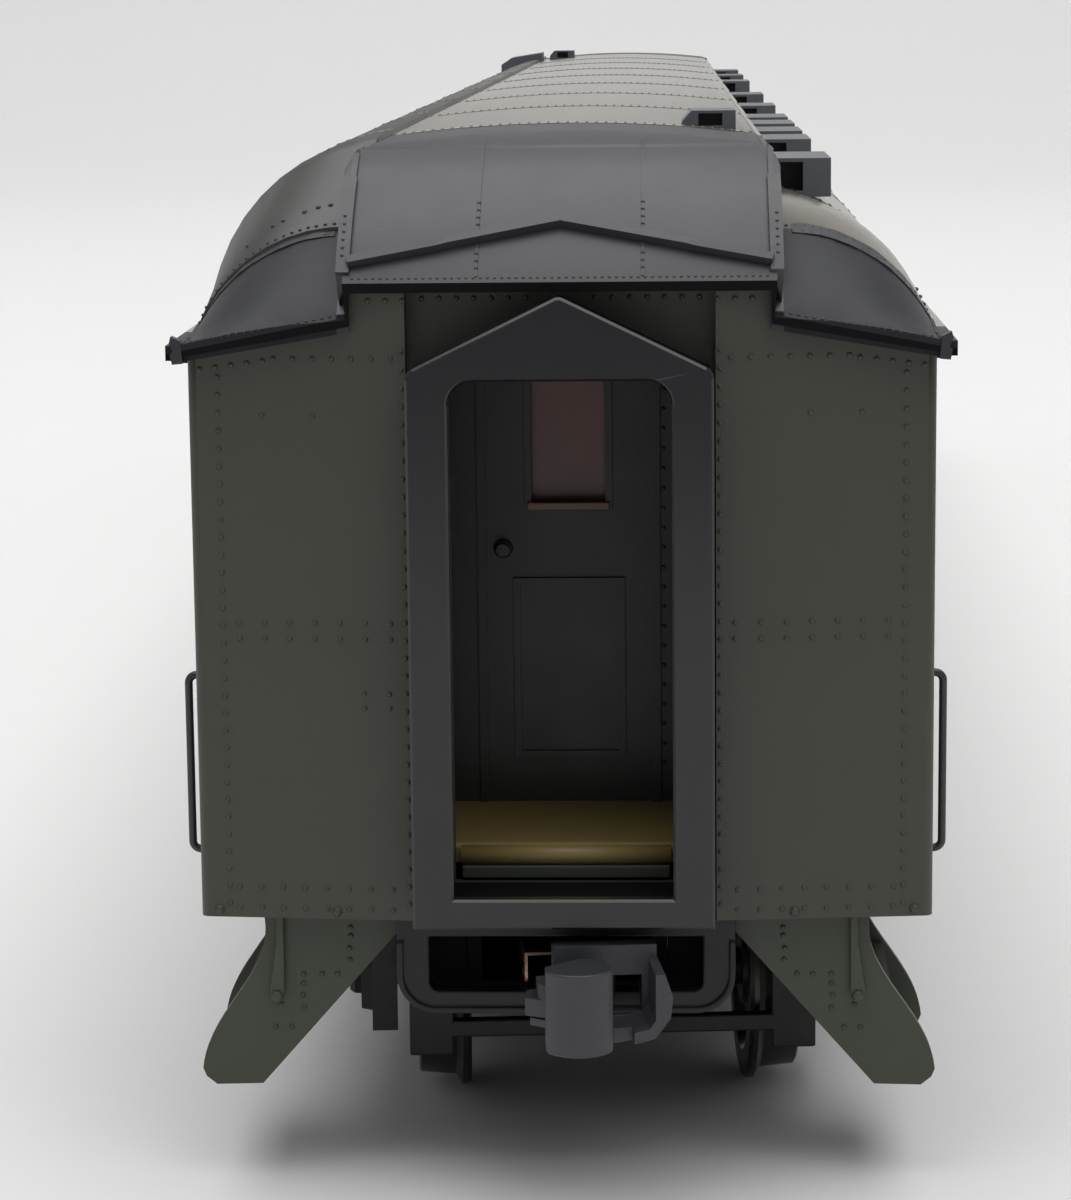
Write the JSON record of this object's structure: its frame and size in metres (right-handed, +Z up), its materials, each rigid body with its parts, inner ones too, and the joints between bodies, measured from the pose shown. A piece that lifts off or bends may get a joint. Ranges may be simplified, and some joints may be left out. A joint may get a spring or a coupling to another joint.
{
  "type": "model passenger coach",
  "caption": "Scale model railway passenger coach with a raised-deck roof, gangway diaphragms, corner steps, swinging couplers and two swivelling multi-axle trucks.",
  "frame": {"origin": "centre of the bounding box in plan, at the lowest point of the wheel flanges", "axes": "+Y along the coach from its front end to its rear end, +Z up, +X to the right seen from in front of the front end"},
  "size_m": [0.0366, 0.2947, 0.0509],
  "materials": {
    "body_green": "satin paint",
    "bulkhead_green": "satin",
    "step_green": "satin paint",
    "frame_black": "satin",
    "ballast_steel": "plain",
    "floor_tan": "satin",
    "seat_green": "satin",
    "partition_brown": "satin",
    "window_clear": "clear",
    "wire_green": "satin paint",
    "screw_steel": "blackened",
    "spring_bronze": "plain",
    "bellows_rubber": "matt",
    "face_black": "semi-gloss",
    "roof_black": "satin",
    "coupler_grey": "satin",
    "wheel_steel": "blackened",
    "axle_black": "blackened"
  },
  "bodies": {
    "coach": {"side_left": "body_green", "side_right": "body_green", "end_front": "body_green", "end_rear": "body_green", "side_doors": "body_green", "bulkheads": "bulkhead_green", "steps_front": "step_green", "steps_rear": "step_green", "underframe": "frame_black", "buffer_frames": "frame_black", "coupler_boxes": "frame_black", "coupler_box_lids": "frame_black", "battery_boxes": "frame_black", "air_reservoirs": "frame_black", "brake_cylinder": "frame_black", "water_tank": "frame_black", "cooling_unit": "frame_black", "brake_rods": "frame_black", "ballast_weight": "ballast_steel", "interior_floor": "floor_tan", "seats": "seat_green", "partitions": "partition_brown", "window_glass": "window_clear", "door_glass": "window_clear", "centre_sill": "frame_black", "grab_irons": "wire_green", "coupler_box_screws": "screw_steel", "king_pin_screws": "screw_steel", "bellows_front": "bellows_rubber", "bellows_rear": "bellows_rubber", "roof": "roof_black", "cooling_duct": "roof_black", "side_vents": "roof_black", "top_vents": "roof_black"},
    "front_truck": {"truck_frame_front": "frame_black", "truck_sides_front": "frame_black", "brake_shoes_front": "frame_black"},
    "front_wheelset_1": {"wheels_front_1": "wheel_steel", "axle_front_1": "axle_black"},
    "front_wheelset_2": {"wheels_front_2": "wheel_steel", "axle_front_2": "axle_black"},
    "front_wheelset_3": {"wheels_front_3": "wheel_steel", "axle_front_3": "axle_black"},
    "front_coupler": {"coupler_front": "coupler_grey", "centring_spring_front": "spring_bronze"},
    "front_knuckle": {"knuckle_front": "coupler_grey"},
    "front_face_plate": {"face_plate_front": "face_black"},
    "rear_truck": {"truck_frame_rear": "frame_black", "truck_sides_rear": "frame_black", "brake_shoes_rear": "frame_black"},
    "rear_wheelset_1": {"wheels_rear_1": "wheel_steel", "axle_rear_1": "axle_black"},
    "rear_wheelset_2": {"wheels_rear_2": "wheel_steel", "axle_rear_2": "axle_black"},
    "rear_wheelset_3": {"wheels_rear_3": "wheel_steel", "axle_rear_3": "axle_black"},
    "rear_coupler": {"coupler_rear": "coupler_grey", "centring_spring_rear": "spring_bronze"},
    "rear_knuckle": {"knuckle_rear": "coupler_grey"},
    "rear_face_plate": {"face_plate_rear": "face_black"}
  },
  "joints": [
    {"name": "front_truck_swivel", "type": "hinge", "parent": "coach", "child": "front_truck", "pos_m": [0, -0.1034, 0.0119], "axis": [0, 0, 1], "range_deg": [-14.5, 5.5]},
    {"name": "front_wheelset_1_spin", "type": "hinge", "parent": "front_truck", "child": "front_wheelset_1", "pos_m": [0.00151, -0.12259, 0.0059], "axis": [0.9969, 0.0785, 0], "continuous": true},
    {"name": "front_wheelset_2_spin", "type": "hinge", "parent": "front_truck", "child": "front_wheelset_2", "pos_m": [0, -0.1034, 0.0059], "axis": [0.9969, 0.0785, 0], "continuous": true},
    {"name": "front_wheelset_3_spin", "type": "hinge", "parent": "front_truck", "child": "front_wheelset_3", "pos_m": [-0.00151, -0.08421, 0.0059], "axis": [0.9969, 0.0785, 0], "continuous": true},
    {"name": "front_coupler_swing", "type": "hinge", "parent": "coach", "child": "front_coupler", "pos_m": [0, -0.132, 0.0108], "axis": [0, 0, 1], "range_deg": [-16, 2], "stiffness_Nm_per_rad": 0.0005},
    {"name": "front_knuckle_open", "type": "hinge", "parent": "front_coupler", "child": "front_knuckle", "pos_m": [-0.00058, -0.14406, 0.0106], "axis": [0, 0, 1], "range_deg": [-35, 0], "stiffness_Nm_per_rad": 0.0003},
    {"name": "front_face_plate_slide", "type": "slide", "parent": "coach", "child": "front_face_plate", "axis": [0, 1, 0], "range_m": [0, 0.001], "stiffness_N_per_m": 25, "deforming": ["bellows_front"]},
    {"name": "rear_truck_swivel", "type": "hinge", "parent": "coach", "child": "rear_truck", "pos_m": [0, 0.1034, 0.0119], "axis": [0, 0, 1], "range_deg": [-10, 10]},
    {"name": "rear_wheelset_1_spin", "type": "hinge", "parent": "rear_truck", "child": "rear_wheelset_1", "pos_m": [0, 0.12265, 0.0059], "axis": [1, 0, 0], "continuous": true},
    {"name": "rear_wheelset_2_spin", "type": "hinge", "parent": "rear_truck", "child": "rear_wheelset_2", "pos_m": [0, 0.1034, 0.0059], "axis": [1, 0, 0], "continuous": true},
    {"name": "rear_wheelset_3_spin", "type": "hinge", "parent": "rear_truck", "child": "rear_wheelset_3", "pos_m": [0, 0.08415, 0.0059], "axis": [1, 0, 0], "continuous": true},
    {"name": "rear_coupler_swing", "type": "hinge", "parent": "coach", "child": "rear_coupler", "pos_m": [0, 0.132, 0.0108], "axis": [0, 0, 1], "range_deg": [-9, 9], "stiffness_Nm_per_rad": 0.0005},
    {"name": "rear_knuckle_open", "type": "hinge", "parent": "rear_coupler", "child": "rear_knuckle", "pos_m": [0.00205, 0.1439, 0.0106], "axis": [0, 0, 1], "range_deg": [-35, 0], "stiffness_Nm_per_rad": 0.0003},
    {"name": "rear_face_plate_slide", "type": "slide", "parent": "coach", "child": "rear_face_plate", "axis": [0, -1, 0], "range_m": [0, 0.001], "stiffness_N_per_m": 25, "deforming": ["bellows_rear"]}
  ]
}
